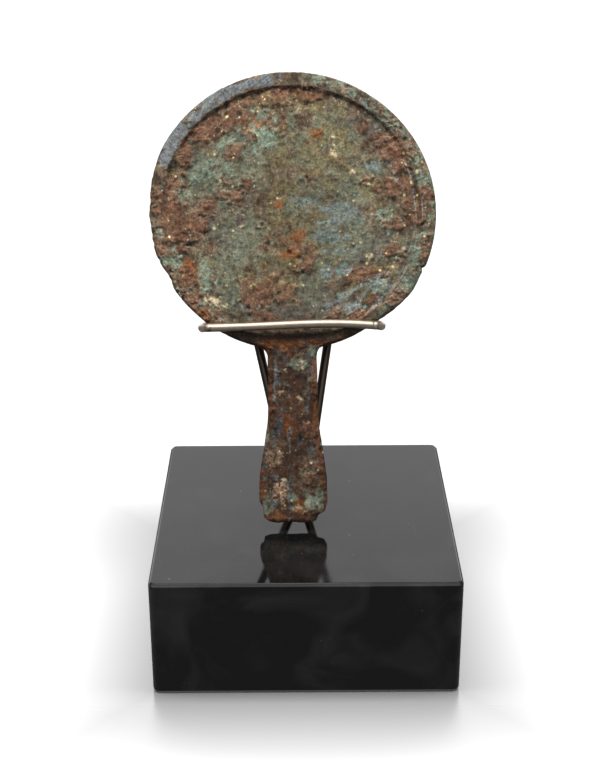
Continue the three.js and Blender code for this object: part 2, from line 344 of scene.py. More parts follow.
def disc_edge_radius(degrees):
    """The disc's radius in a direction: the cast radius, less what corrosion took, less the crumbs
    missing from the left-hand stretch, a fine ripple, and the nick in the right-hand edge."""
    turned = np.where(degrees < EDGE_LOSS[0][0], degrees + 360, degrees)
    along = flat_points(turned, turned * 0)
    crumbled = within(turned, CRUMBLED_ARC)
    rippled = 0.25 + 0.75 * np.maximum(crumbled, within(turned, RIPPLED_ARC))
    crumbs = np.clip(noise(along, 5.5, 11) - 0.36, 0, 1) * 2.0 * crumbled
    ripple = noise(along, 1.6, 17, 2) * 0.24 * rippled
    nick = NICK_DEPTH * line(turned, NICK_AT, 0.9)
    nick = nick + 0.35 * step_up(NICK_AT, NICK_AT - 1.2, turned) * step_up(-33, -28, turned)
    return DISC_RADIUS - eased(EDGE_LOSS, turned) - crumbs - ripple - nick


def half_width(v, corner):
    """Half of the handle's width at height v: broken corner, swelling grip, neck, then the shoulder's
    round, which touches both the neck's side and the disc's edge."""
    grip_starts, corner_half = corner[-1]
    broken = eased(corner, v) * (GRIP_WIDTH / 2 / corner_half)
    along = np.clip((v - GRIP_WIDEST_AT) / (NECK_STARTS_AT - GRIP_WIDEST_AT), 0, 1)
    grip = GRIP_WIDTH / 2 + (NECK_HALF - GRIP_WIDTH / 2) * (1 - np.cos(np.pi * along)) / 2
    up = np.clip(v - SHOULDER_V, 0, SHOULDER_RADIUS)
    shoulder = NECK_HALF + SHOULDER_RADIUS - np.sqrt(SHOULDER_RADIUS ** 2 - up ** 2)
    return np.where(v < grip_starts, broken, np.where(v > SHOULDER_V, shoulder, grip))


def disc_points(inset):
    """The disc on a square lattice of columns i and rows j: the lattice's square rings, numbered
    max(|i|, |j|), become circles, and the place along a square's side becomes the direction.
    inset draws the outermost rings in."""
    i, j = np.meshgrid(np.arange(-RINGS, RINGS + 1.0), np.arange(-RINGS, RINGS + 1.0))
    wide = np.abs(i) >= np.abs(j)
    quarter = np.pi / 4
    across = np.where(wide & (i != 0), i, 1)
    upright = np.where(~wide, j, 1)
    turn = np.where(wide, quarter * j / across + np.where(i < 0, np.pi, 0),
                    np.where(j > 0, np.pi / 2, -np.pi / 2) - quarter * i / upright)
    ring = np.maximum(np.abs(i), np.abs(j)) / RINGS
    cast = np.interp(ring, RING_SHARES, RING_RADII)
    degrees = (np.degrees(turn) + 180) % 360 - 180
    share = np.clip((cast - WALL_TOP) / (DISC_RADIUS - WALL_TOP), 0, 1)
    radius = cast - share * (DISC_RADIUS - disc_edge_radius(degrees) + inset)
    u = radius * np.cos(turn)
    v = radius * np.sin(turn) + DISC_CENTRE_V
    return u, v, cast


def handle_side(v, corner, sign, seed):
    """One side of the handle at heights v: its half width, a little worn away by noise."""
    wobble = (noise(flat_points(v, v * 0 + seed), 6.0, 23) - 0.62) * 0.55
    return HANDLE_SHIFT + sign * (half_width(v, corner) + np.minimum(wobble, 0.05))


def handle_points(join, inset):
    """The handle on a lattice hung from the disc's edge: each side's outline runs down from the end of
    the join, a row is spread evenly between the sides, and the join's arc fades out down the rows."""
    share = np.linspace(0, 1, 2 * HANDLE_HALF_COLUMNS + 1)[None, :]
    down = np.linspace(0, 1, HANDLE_ROWS + 1)[:, None]
    top_left, top_right = join[0], join[-1]
    end_v = inset + 0.25
    left_v = top_left[1] + (end_v - top_left[1]) * down
    right_v = top_right[1] + (end_v - top_right[1]) * down
    left_u = handle_side(left_v, LEFT_CORNER, -1, 3) + inset
    right_u = handle_side(right_v, RIGHT_CORNER, 1, 9) - inset
    left_u = left_u + (top_left[0] - left_u[0]) * (1 - down) ** 12
    right_u = right_u + (top_right[0] - right_u[0]) * (1 - down) ** 12
    fade = (1 - down) ** 5
    straight_u = top_left[0] * (1 - share) + top_right[0] * share
    straight_v = top_left[1] * (1 - share) + top_right[1] * share
    u = left_u * (1 - share) + right_u * share + (join[None, :, 0] - straight_u) * fade
    v = left_v * (1 - share) + right_v * share + (join[None, :, 1] - straight_v) * fade
    ragged = noise(flat_points(u[-1], u[-1] * 0), 3.0, 31) * 0.7 - 0.2
    ragged = ragged + 0.9 * np.abs(2 * share[0] - 1) ** 6
    return u, v + ragged[None, :] * down ** 20


def plate_sheet(inset, first, stride):
    """One face of the plate: the disc's lattice with the handle's hung from the middle of its lowest
    row. Takes every stride-th line, numbers the points from first, and gives places, the disc points'
    cast radius (the rim's own radius for the handle), quads and the outline's loop of points."""
    u, v, cast = disc_points(inset)
    middle = slice(RINGS - HANDLE_HALF_COLUMNS, RINGS + HANDLE_HALF_COLUMNS + 1)
    join = np.stack([u[0, middle], v[0, middle]], -1)
    handle_u, handle_v = handle_points(join, inset)
    disc = [a[::stride, ::stride] for a in (u, v, cast)]
    hung = [a[stride::stride, ::stride] for a in (handle_u, handle_v)]
    side = disc[0].shape[0]
    number = first + np.arange(side * side).reshape(side, side)
    keep = slice(middle.start // stride, (middle.stop - 1) // stride + 1)
    below = first + side * side + np.arange(hung[0].size).reshape(hung[0].shape)
    rows = np.vstack([number[:1, keep], below])
    disc_quads = np.stack([number[:-1, :-1], number[:-1, 1:], number[1:, 1:], number[1:, :-1]], -1)
    handle_quads = np.stack([rows[1:, :-1], rows[1:, 1:], rows[:-1, 1:], rows[:-1, :-1]], -1)
    loop = np.concatenate([
        number[0, keep.stop - 1:], number[1:, -1], number[-1, -2::-1], number[-2::-1, 0],
        number[0, 1:keep.start + 1], rows[1:, 0], rows[-1, 1:], rows[-2:0:-1, -1],
    ])
    place = np.concatenate([
        np.stack([a.ravel() for a in disc[:2]], -1), np.stack([a.ravel() for a in hung], -1)])
    radius = np.concatenate([disc[2].ravel(), np.full(hung[0].size, DISC_RADIUS)])
    on_handle = np.concatenate([np.zeros(side * side, bool), np.ones(hung[0].size, bool)])
    quads = np.concatenate([disc_quads.reshape(-1, 4), handle_quads.reshape(-1, 4)])
    return place, radius, on_handle, quads, loop


def front_profile(place, radius, on_handle):
    """The cast form's height: a crowned field, a sloping wall up to the rim, the rim's face rolled over
    at the edge, and on the handle a flat panel between two long bevels. The roll fades where the
    handle joins."""
    u, v = place.T
    field = FIELD_CROWN * (1 - (radius / WALL_FOOT) ** 2) - FIELD_DEPTH
    wall = step_up(WALL_FOOT, WALL_TOP, radius)
    swell = -0.18 * np.clip((radius - WALL_TOP - 2.2) / 2.6, -1, 1) ** 2
    roll = np.clip((radius - (DISC_RADIUS - RIM_ROLL_WIDTH)) / RIM_ROLL_WIDTH, 0, 1)
    from_left = u - HANDLE_SHIFT + half_width(v, LEFT_CORNER)
    from_right = half_width(v, RIGHT_CORNER) - u + HANDLE_SHIFT
    under_disc = LOWER_RADIUS * math.sin(JOIN_HALF_ANGLE) - np.abs(u - HANDLE_SHIFT)
    from_side = np.where(on_handle, np.minimum(from_left, from_right),
                         np.where(v < DISC_CENTRE_V, under_disc, 0))
    panel = step_up(0, LONG_BEVEL_WIDTH, from_side)
    rim = swell - RIM_ROLL_DROP * (1 - np.sqrt(1 - 0.98 * roll ** 2)) * (1 - panel)
    disc = np.where(radius < WALL_FOOT, field, -FIELD_DEPTH + (rim + FIELD_DEPTH) * wall)
    end_round = 0.6 * (1 - step_up(0, 1.6, v))
    handle = -LONG_BEVEL_DROP * (1 - panel) - 0.35 * (1 - step_up(0, 0.8, from_side)) - end_round
    return np.where(on_handle, handle, disc)


# Where each kind of corrosion lies on the front: centre u and v, half length, half width, turn in
# degrees. The disc's centre is at u 0, v DISC_CENTRE_V.
SAGE = [
    (-22, 122, 17, 12, 20), (-9, 135, 9, 8, 0), (17, 118, 17, 20, 0), (16, 99, 18, 9, 5),
    (-18, 90, 12, 14, 0), (-24, 78, 9, 6, -30), (12, 85, 12, 8, 20), (33, 104, 5, 7, 0),
    (0, 103, 8, 10, 0),
]
OLIVE = [
    (-2, 122, 7, 15, 0), (6, 106, 12, 6, 0), (2, 93, 9, 9, 0), (14, 130, 10, 9, 0), (-6, 84, 9, 5, 0),
    (22, 118, 9, 6, 0), (28, 84, 7, 4, 40), (-8, 147, 6, 2.5, 0), (12, 146, 8, 3, -10),
    (36, 90, 3, 6, -20),
]
SLATE = [
    (24.4, 110, 6, 3.4, -10), (-18, 101, 8, 6, 0), (-12, 74, 14, 5, 0), (8, 78, 10, 7, 10),
    (27, 96, 9, 6, 0), (24, 139, 8, 4, -25), (-3.7, 56, 2.6, 2, 0), (6.5, 55.5, 2.2, 1.6, 0),
    (-33, 127, 4, 3, 0),
]
CRUST = [
    (-43, 109, 7, 8, 0), (-44, 96, 8, 9, 20), (-35, 104, 7, 6, 0), (-38.5, 84, 7, 12, 35),
    (-31.5, 72, 5, 9, 50), (-39, 119.5, 6, 4, 0), (-37.4, 126.4, 3.4, 3.2, 0),
    (-36.6, 132, 2.2, 3, 0), (-18.2, 129, 5.5, 2.6, 30), (-14, 134.5, 2.2, 2.8, 0),
    (-19, 118, 5, 2.4, -5), (-15, 119, 2.4, 2, 0), (-20.5, 113, 4, 3, 0), (-5, 140, 4, 5, 0),
    (-21.5, 141, 14, 4.5, 35), (-3, 150, 14, 3, 0), (36, 132, 10, 5.5, -60), (40, 124.3, 6, 2.8, -20),
    (47, 113, 2.6, 4, 0), (37.5, 115.5, 4, 5, 0), (24.4, 136.5, 2.6, 1.6, 0), (41.5, 107, 4, 5, 0),
    (37.5, 103, 5, 2.4, 10), (36.7, 93, 4.4, 3, 25), (23, 85, 9, 2.6, 12), (12.4, 72.6, 8, 3, 25),
    (4.2, 90.5, 4, 5, 0), (25, 73.7, 5, 2.6, 30), (37, 77, 4, 2.4, 45), (47, 96, 1.6, 3.8, 0),
    (-7.3, 79, 9, 4.4, 0), (-6, 98, 4.4, 3.6, 0), (-12, 70.4, 5, 2.4, 0), (5.4, 14.9, 2.4, 2.6, 0),
    (-8.6, 42, 1.8, 9, 0), (9.4, 47, 1.4, 7, 0), (9.6, 27, 2.2, 9, -8), (-6.5, 53, 2.4, 4, 0),
    (-28, 108, 5, 4, 0), (31, 118, 6, 3, 0), (5.6, 31, 2.6, 2.4, 0),
]
VERDIGRIS = [
    (-10, 136, 6, 7, 0), (-21.7, 134.3, 5.5, 2.2, 40), (-29.8, 122.5, 8, 4, 10), (-37, 113, 3, 2.4, 0),
    (33.5, 105.5, 4, 3, 0), (43.6, 94, 2, 5, -10), (30.7, 81.3, 3, 2.6, 0), (40, 80, 2.4, 7, -40),
    (-46.5, 99, 2.4, 5, 0), (-42.3, 91.5, 3.4, 6, 40), (-29.5, 84.5, 2.6, 6, 8), (-36, 77, 2.2, 6, 42),
    (3.3, 54, 3.6, 1.8, 0), (6.8, 50.5, 1.6, 2.2, 0), (-9.4, 30, 1, 5, 0), (6.6, 6.6, 3.2, 2.4, 20),
    (1.6, 9.2, 3.4, 1, 15), (-8.6, 11.5, 1.2, 5, 0), (9.4, 10, 1.2, 3.4, 15),
    (7.9, 58.4, 2.2, 2, 0), (-8.4, 4.9, 1.7, 1.5, 0), (44, 122, 1.6, 7, 22), (36, 137.5, 1.6, 8, 45),
]
SMEAR = [
    (5, 111.5, 5, 1.2, 0), (15, 108.3, 8, 2, -6), (16, 104, 7, 1.6, 8), (13, 99, 6, 2.4, 0),
    (14, 93, 6, 0.9, 10), (12.5, 86, 2.6, 2.4, 0), (18, 87, 2.4, 2, 0), (19.5, 78, 9, 1, 30),
    (24, 77.5, 7, 0.7, 36), (21, 73, 5, 1.2, 38), (33, 80, 7, 0.5, 50), (29, 124, 4, 1.8, 0),
    (30.6, 135, 8, 0.45, -67), (-5.4, 49, 0.5, 5, 0), (-0.6, 11, 0.3, 6.5, 0),
]
BLUE = [
    (-4.8, 32.2, 1.3, 6.6, -8), (5.4, 41.6, 0.7, 3.6, 0), (2.3, 27.6, 0.5, 2.2, 0),
    (6.6, 24.8, 1, 2.2, 0), (7.6, 20.2, 0.7, 2.8, 20), (-5.8, 15, 1.2, 1.2, 0),
    (-5.7, 7, 1.6, 1.3, 0), (-9.6, 17, 0.5, 4, 0), (-0.3, 7.3, 0.8, 1.2, 0),
    (-3.7, 56.4, 1.6, 1.4, 0), (6.4, 53, 0.9, 3, 0),
]
TAN = [
    (-6.2, 22.2, 3.2, 4.4, 0), (-4.4, 10.6, 2.5, 4.2, 0), (5.2, 4.4, 1.6, 0.9, 10),
    (-3, 44, 1.6, 0.7, -20), (6.2, 34.2, 1, 0.7, 0), (2.6, 53.6, 2.4, 0.8, 10),
    (-26, 76, 3, 1.4, -25), (2, 42, 1.2, 0.5, -45),
]
CREAM = [
    (14.9, 134, 1.1, 0.8, 0), (14.9, 131.6, 0.6, 0.5, 0), (15.2, 128.7, 1.4, 1.4, 0),
    (1.6, 5, 1.4, 0.5, 0), (21.4, 121.8, 1, 1.2, 0), (26.3, 118.2, 1.2, 1.1, 0),
    (27, 91.9, 1.1, 1.1, 0), (-26, 75.5, 3.4, 1.4, -25), (-3.3, 14.4, 0.9, 0.6, 0),
    (-2.4, 9.8, 0.5, 0.9, 0), (5.1, 4, 0.8, 0.4, 0), (-4.2, 24, 0.5, 0.9, 0),
    (-26.2, 84, 1.2, 0.9, 0), (4.2, 55, 0.9, 0.3, 10), (-16.8, 102.5, 1.2, 0.6, 0),
    (3.6, 52.2, 0.4, 0.4, 0), (-2, 51.5, 0.4, 0.3, 0), (-2.1, 46.6, 0.4, 0.4, 0),
    (-3.4, 44.4, 0.9, 0.3, -20), (2.4, 42.8, 0.8, 0.2, -45),
]
OCHRE = [
    (-31, 80, 3.2, 1.6, -35), (-4, 109.5, 2, 2, 0), (-3, 103, 1.5, 2.5, 0),
    (-0.4, 56.8, 1.8, 1.8, 0), (1.5, 60.5, 6, 2, 0), (-7.4, 42.5, 1.6, 4, 0), (-7, 2.6, 4, 2.4, 0),
    (9, 34, 1.8, 5, 0), (-7.4, 47, 1.4, 7, 0), (8, 51, 1.6, 4, 0), (4, 61, 12, 1.4, 0),
    (-8, 60.5, 5, 1.6, 25), (-9.5, 14, 1.4, 5, 0), (10, 18, 1.2, 5, 0), (-1, 33, 2, 4, 20),
    (-2, 92, 4, 1.5, 0), (-14, 139, 4, 2, 0), (-34, 86, 3, 5, 20), (2.6, 5.5, 4, 2, 0),
    (8.7, 136.7, 1.9, 1.7, 0), (3, 99, 2.4, 2, 0), (-30, 70, 5, 2, -50),
]
# Lumps: centre u and v, reach, height
LUMPS = [
    (-37.4, 126.4, 2.6, 1), (8.7, 136.7, 1.9, 0.3), (5.4, 14.9, 2.3, 0.55), (-5.6, 15.4, 1.5, 0.4),
    (-3.4, 11.5, 2.4, 0.5), (6.2, 6.4, 2.6, 0.4), (-44.5, 102, 3, 0.5), (-18.5, 129, 2.8, 0.5),
    (40, 124, 2.6, 0.5), (-12.5, 135, 1.8, 0.35),
]
# Craters: centre u and v, radius
CRATERS = [
    (15.2, 128.7, 1.7), (26.3, 118.2, 1.3), (27, 91.9, 1.1), (-10, 103, 1.2), (5.5, 120, 1),
]


def patches(points, spots, seed, ragged=1.5, slope=0.13, grain=4.5):
    """How deep inside the nearest patch each point is: above 0.5 inside. Distance from the patch's edge
    counts by slope for each millimetre, and fractal noise breaks the edge into holes and islands."""
    u, v = points[:, 0], points[:, 1]
    deepest = np.full(len(u), -9.0)
    for centre_u, centre_v, length, width, turn in spots:
        cos, sin = math.cos(math.radians(turn)), math.sin(math.radians(turn))
        along = (u - centre_u) * cos + (v - centre_v) * sin
        across = (v - centre_v) * cos - (u - centre_u) * sin
        reach = (1 - np.hypot(along / length, across / width)) * min(length, width)
        thin = min(1.0, 2.4 / min(length, width))
        deepest = np.maximum(deepest, reach * (1 + 2.5 * thin ** 2))
    broken = (noise(points, grain, seed, 5, 0.66) - 0.5) * ragged
    return np.clip(0.5 + np.clip(deepest * slope, -0.6, 0.22) + broken, 0, 1)


def streak_noise(place, radius, degrees, on_handle):
    """Streaks that run round the disc on its outer field, as the marks of turning do, across its rim,
    and down the handle: noise of a place's radius and arc, or of its u and v, stretched one way."""
    far = np.hypot(place[:, 0], place[:, 1] - DISC_CENTRE_V)
    arc = np.radians(degrees) * far
    on_field = (noise(flat_points(far / 0.7, arc / 9.0), 1.0, 151, 3, 0.6) - 0.5) * step_up(22, 34, far)
    on_rim = noise(flat_points(far / 6.0, arc / 0.9), 1.0, 163, 3, 0.6) - 0.5
    down_handle = noise(flat_points(place[:, 0] / 0.8, place[:, 1] / 5.0), 1.0, 157, 3, 0.6) - 0.5
    return np.where(on_handle, down_handle, np.where(radius > WALL_TOP, on_rim, on_field))


def bare_band(radius, turned, wander, spotty):
    """The stretch of rim at the upper left that lost its corrosion, with ragged ends and spots left."""
    stretch = step_up(88, 108, turned + 30 * wander) * (1 - step_up(155, 168, turned + 24 * wander))
    band = step_up(44.8, 46.2, radius + 3 * spotty) * (1 - step_up(49.0, 50.6, radius + 4 * spotty))
    return stretch * band * (1 - 0.8 * step_up(0.08, 0.2, spotty))


def corrosion(place, radius, degrees, on_handle):
    """The share of every kind of corrosion at each place, by name: listed patches joined with rings that
    follow the disc's edge, each a product of a stretch of directions and one of radii. The smear share
    also holds a painted highlight, and the dark share painted shade."""
    disc = ~on_handle
    turned = np.where(degrees < -150, degrees + 360, degrees)
    points = flat_points(place[:, 0], place[:, 1])
    wander = noise(points, 7.0, 71, 4, 0.6) - 0.5
    spotty = noise(points, 2.4, 73, 4, 0.65) - 0.5
    striped = streak_noise(place, radius, degrees, on_handle)
    right_rim = disc * within(turned, (-66, -50, 78, 96)) * step_up(45, 46.5, radius)
    under_rim = disc * within(turned, (50, 90, 150, 175)) * within(radius, (34, 41.5, 44, 45))
    # A painted highlight: a pale line along the top of the rim's wall low on the disc, in place of the
    # wall's edge catching the light. It joins the smear share below.
    painted_wall_edge_highlight = disc * within(turned, (-126, -120, -64, -56)) * line(radius, WALL_TOP - 0.5, 0.4)
    two_lines = np.maximum(line(radius + wander, 43.4, 0.28), 0.8 * line(radius + 0.6 * wander, 45.6, 0.25))
    right_lines = disc * within(turned, (-56, -46, 22, 34)) * two_lines
    smear_and_painted_highlight = patches(points, SMEAR, 253, 1.3, 0.10, 2.4) + 0.9 * striped
    smear_and_painted_highlight = np.maximum(np.maximum(smear_and_painted_highlight, right_lines * (0.72 + spotty)), painted_wall_edge_highlight * (0.7 + spotty))
    bare = disc * bare_band(radius, turned, wander, spotty)
    crust = np.maximum(patches(points, CRUST, 241, 2.0, 0.09, 5.0),
                       (0.52 + 1.2 * wander + 0.8 * spotty) * under_rim)
    return {
        "sage": patches(points, SAGE, 201, 1.9, 0.04),
        "olive": patches(points, OLIVE, 207, 1.9, 0.05),
        "slate": patches(points, SLATE, 213, 1.9, 0.05),
        "crust": crust * (1 - 0.9 * bare),
        "verdigris": np.maximum(patches(points, VERDIGRIS, 247, 1.8, 0.1, 3.0),
                                (0.44 + 1.5 * spotty) * right_rim),
        "smear_and_painted_highlight": smear_and_painted_highlight,
        "bare": bare,
        "cream": patches(points, CREAM, 261, 1.3, 0.12, 2.0),
        "ochre": patches(points, OCHRE, 267, 1.8, 0.08),
        # The dark share covers the handle and the strip of disc under the wire bar: the handle's own darker
        # brown patina, and painted shade as well, for the bar's shadow and for the shade on the handle near
        # the black block.
        "dark_patina_and_painted_shade": np.clip(step_up(67, 63.5, place[:, 1]) * (0.72 + 0.8 * wander), 0, 1),
        "blue": patches(points, BLUE, 271, 1.2, 0.10, 1.6) * (0.9 + 0.5 * striped),
        "tan": patches(points, TAN, 277, 0.9, 0.10, 1.4) - 0.14,
        "streaks": 0.5 + striped,
    }


def front_relief(place, masks):
    """What corrosion adds to or takes from the cast form: slow waves and fine grit everywhere but on the
    bare rim, packed grains on a raised bed under the crust, thin scales of verdigris and cream, lumps,
    craters, pits and the seam low on the handle."""
    u, v = place.T
    points = flat_points(u, v)
    waves = (noise(points, 14.0, 83, 2) - 0.5) * 0.3
    grit = (noise(points, 1.9, 89, 4, 0.75) - 0.5) * 0.5
    bed = step_up(0.44, 0.60, masks["crust"])
    dome, tone = grains(points + noise(points, 2.0, 97, 2)[:, None] * 1.2, 1.35, 101)
    fine_dome, fine_tone = grains(points, 0.75, 107)
    coarse = np.clip(noise(points, 2.9, 109, 4, 0.7) - 0.36, 0, 1)
    crust = bed * (0.04 + 0.26 * dome * tone + 0.10 * fine_dome + 1.9 * coarse)
    scale = step_up(0.48, 0.62, masks["verdigris"]) * (0.04 + 0.16 * fine_dome * fine_tone)
    cream = step_up(0.5, 0.62, masks["cream"]) * (0.08 + 0.24 * fine_dome)
    tan = step_up(0.46, 0.6, masks["tan"]) * 0.26 * fine_dome
    pit_dome, pit_tone = grains(points + 3.3, 1.7, 113)
    pits = -0.5 * np.clip(pit_dome - 0.45, 0, 1) * step_up(0.6, 0.8, pit_tone)
    calm = 1 - 0.9 * step_up(0.4, 0.6, masks["bare"])
    total = waves + (grit + pits) * calm + (crust + scale + cream + tan) * (0.3 + 0.7 * calm)
    for lump_u, lump_v, reach, height in LUMPS:
        inside = 1 - ((u - lump_u) ** 2 + (v - lump_v) ** 2) / reach ** 2
        total = total + height * np.sqrt(np.clip(inside, 0, 1))
    for crater_u, crater_v, reach in CRATERS:
        far = np.hypot(u - crater_u, v - crater_v)
        total = total + 0.3 * line(far, reach, 0.4) - 0.45 * line(far, 0, 0.5)
    seam = line(u, -0.5, 0.35) * within(v, (3, 5, 17, 19))
    return total - 0.3 * seam + 0.12 * (masks["streaks"] - 0.5)


def edge_rows(outline, crusted):
    """The plate's wall as rows of points that run round its outline at growing depths, each drawn in a
    little along the outline's own normal, and more where noise and crust roughen it."""
    ahead = np.roll(outline, -2, axis=0) - np.roll(outline, 2, axis=0)
    outward = np.stack([ahead[:, 1], -ahead[:, 0]], -1)
    outward = outward / np.linalg.norm(outward, axis=1, keepdims=True)
    rows = []
    for draw_in, depth in WALL_ROWS:
        points = np.column_stack([outline, np.full(len(outline), depth)])
        rough = noise(points, 1.8, 131) * 0.3 * (0.3 + step_up(0.4, 0.6, crusted))
        points[:, :2] -= outward * (draw_in + rough + 0.02)[:, None]
        rows.append(points)
    return rows


def directions(place):
    """Each place's direction from the disc's centre, in degrees."""
    return np.degrees(np.arctan2(place[:, 1] - DISC_CENTRE_V, place[:, 0]))


def make_mirror():
    """The whole casting as one closed mesh: the front sheet with its corrosion, a wall carried round the
    outline, and a back sheet with every second line, joined to the wall by a strip of triangles."""
    place, radius, on_handle, quads, loop = plate_sheet(0.0, 0, 1)
    masks = corrosion(place, radius, directions(place), on_handle)
    relief = front_relief(place, masks)
    under_bar = line(place[:, 1], BAR_V, 3.0)
    height = front_profile(place, radius, on_handle)
    near_bar = height + relief * 0.9 > 0.15
    height = height + np.where(near_bar, relief * (1 - 0.8 * under_bar), relief)
    front = np.column_stack([place, height])

    walls = edge_rows(place[loop], masks["crust"][loop])
    first_wall = len(front)
    wall_numbers = first_wall + np.arange(len(loop) * len(walls)).reshape(len(walls), len(loop))
    rows = np.vstack([loop[None, :], wall_numbers])
    turned = np.roll(rows, -1, axis=1)
    wall_quads = np.stack([rows[:-1], rows[1:], turned[1:], turned[:-1]], -1).reshape(-1, 4)

    first_back = first_wall + wall_numbers.size
    back_place, back_radius, back_handle, back_quads, back_loop = plate_sheet(BACK_INSET, first_back, 2)
    back_relief = noise(flat_points(*back_place.T), 2.4, 149, 4) * 0.12
    back = np.column_stack([back_place, back_relief - PLATE_THICKNESS])
    even, odd = rows[-1][0::2], rows[-1][1::2]
    next_even = np.roll(rows[-1], -1)[1::2]
    next_back = np.roll(back_loop, -1)
    zipped = np.concatenate([
        np.stack([even, back_loop, odd], -1),
        np.stack([odd, back_loop, next_back], -1),
        np.stack([odd, next_back, next_even], -1),
    ])

    points = np.concatenate([front, *walls, back])
    faces = np.concatenate([quads, wall_quads, back_quads[:, ::-1]])
    mirror = mesh_piece("cast_bronze_mirror", from_plate(points), faces, zipped)
    spots = back_place * (-1, 1) + BACK_PATCHES_MOVED
    back_masks = corrosion(spots, back_radius * 0, directions(back_place), back_handle)
    for name, share in masks.items():
        on_walls = np.tile(share[loop], len(walls))
        add_layer(mirror, name, np.concatenate([share, on_walls, back_masks[name]]))
    # Painted shade: below the wire bar the foot of the rim's wall gets a lower relief value, which the
    # bronze material turns into darker colour in place of the bar's shadow.
    below_bar = step_up(BAR_V, BAR_V - 2, place[:, 1]) * ~on_handle
    painted_shade_under_bar = below_bar * line(radius, WALL_FOOT + 0.6, 1.1)
    no_relief = np.zeros(wall_numbers.size)
    add_layer(mirror, "relief", np.concatenate([relief - 0.3 * painted_shade_under_bar, no_relief, back_relief]))
    return mirror


# Wire cradle


def cradle_corners(side):
    """One side's corners as (point, bend radius), from the foot in the block to the front bar's end."""
    front_w = WIRE_RADIUS + FIT_CLEARANCE
    back_w = -PLATE_THICKNESS - front_w
    leg_w = -PLATE_THICKNESS - LEG_STANDOFF
    end_v = BAR_V + side * BAR_RISE / 2
    reach = LOWER_RADIUS + WIRE_RADIUS + FIT_CLEARANCE + END_BEND_SLACK
    end_u = side * math.sqrt(reach ** 2 - (DISC_CENTRE_V - end_v) ** 2)
    foot_z = BLOCK_HEIGHT + FOOT_RISE
    leg_foot = from_plate([(0, 0, leg_w)])[0]
    foot_y = leg_foot[1] + (foot_z - leg_foot[2]) * math.tan(LEAN)
    foot_x = FOOT_X + side * FOOT_HALF_SPREAD
    plate = from_plate([
        (side * LEG_TOP_HALF_SPREAD, BAR_V + LEG_TOP_ABOVE_BAR, leg_w),
        (end_u - side * BACK_REST_INSET, end_v + BACK_REST_RISE, back_w),
        (end_u, end_v + END_BEND_CLIMB / 2, back_w),
        (end_u, end_v - END_BEND_CLIMB / 2, front_w),
    ])
    return [
        (np.array((foot_x, foot_y, BLOCK_HEIGHT - FOOT_DEPTH)), 0),
        (np.array((foot_x, foot_y, foot_z)), FOOT_BEND_RADIUS),
        (plate[0], LEG_TOP_RADIUS),
        (plate[1], BACK_REST_RADIUS),
        (plate[2], END_BEND_RADIUS),
        (plate[3], END_BEND_RADIUS),
    ]


def wire_route():
    """The wire's centre line: straights joined by circular bends, and a front bar that rises a little to
    the right and bows upwards, most towards the right."""
    left = cradle_corners(-1)
    right = cradle_corners(1)[::-1]
    up_plate = np.array((0, math.sin(LEAN), math.cos(LEAN)))
    share = np.arange(1, BAR_STATIONS)[:, None] / BAR_STATIONS
    bar = left[-1][0] * (1 - share) + right[0][0] * share
    bar = bar + up_plate * BAR_BOW * np.sin(np.pi * share ** BAR_BOW_LEANS_RIGHT)
    corners = [*left, *((point, 0) for point in bar), *right]
    route = []
    for i, (at, radius) in enumerate(corners):
        if not radius:
            route.append(at)
            continue
        back = corners[i - 1][0] - at
        ahead = corners[i + 1][0] - at
        back = back / np.linalg.norm(back)
        ahead = ahead / np.linalg.norm(ahead)
        half = math.acos(np.clip(back @ ahead, -1, 1)) / 2
        middle = (back + ahead) / np.linalg.norm(back + ahead)
        centre = at + middle * radius / math.sin(half)
        outward = -middle
        along = (ahead - back) / np.linalg.norm(ahead - back)
        sweep = math.pi / 2 - half
        steps = max(2, round(math.degrees(2 * sweep) / BEND_STEP_DEGREES))
        for turn in np.linspace(-sweep, sweep, steps + 1):
            route.append(centre + radius * (outward * math.cos(turn) + along * math.sin(turn)))
    return np.array(route)


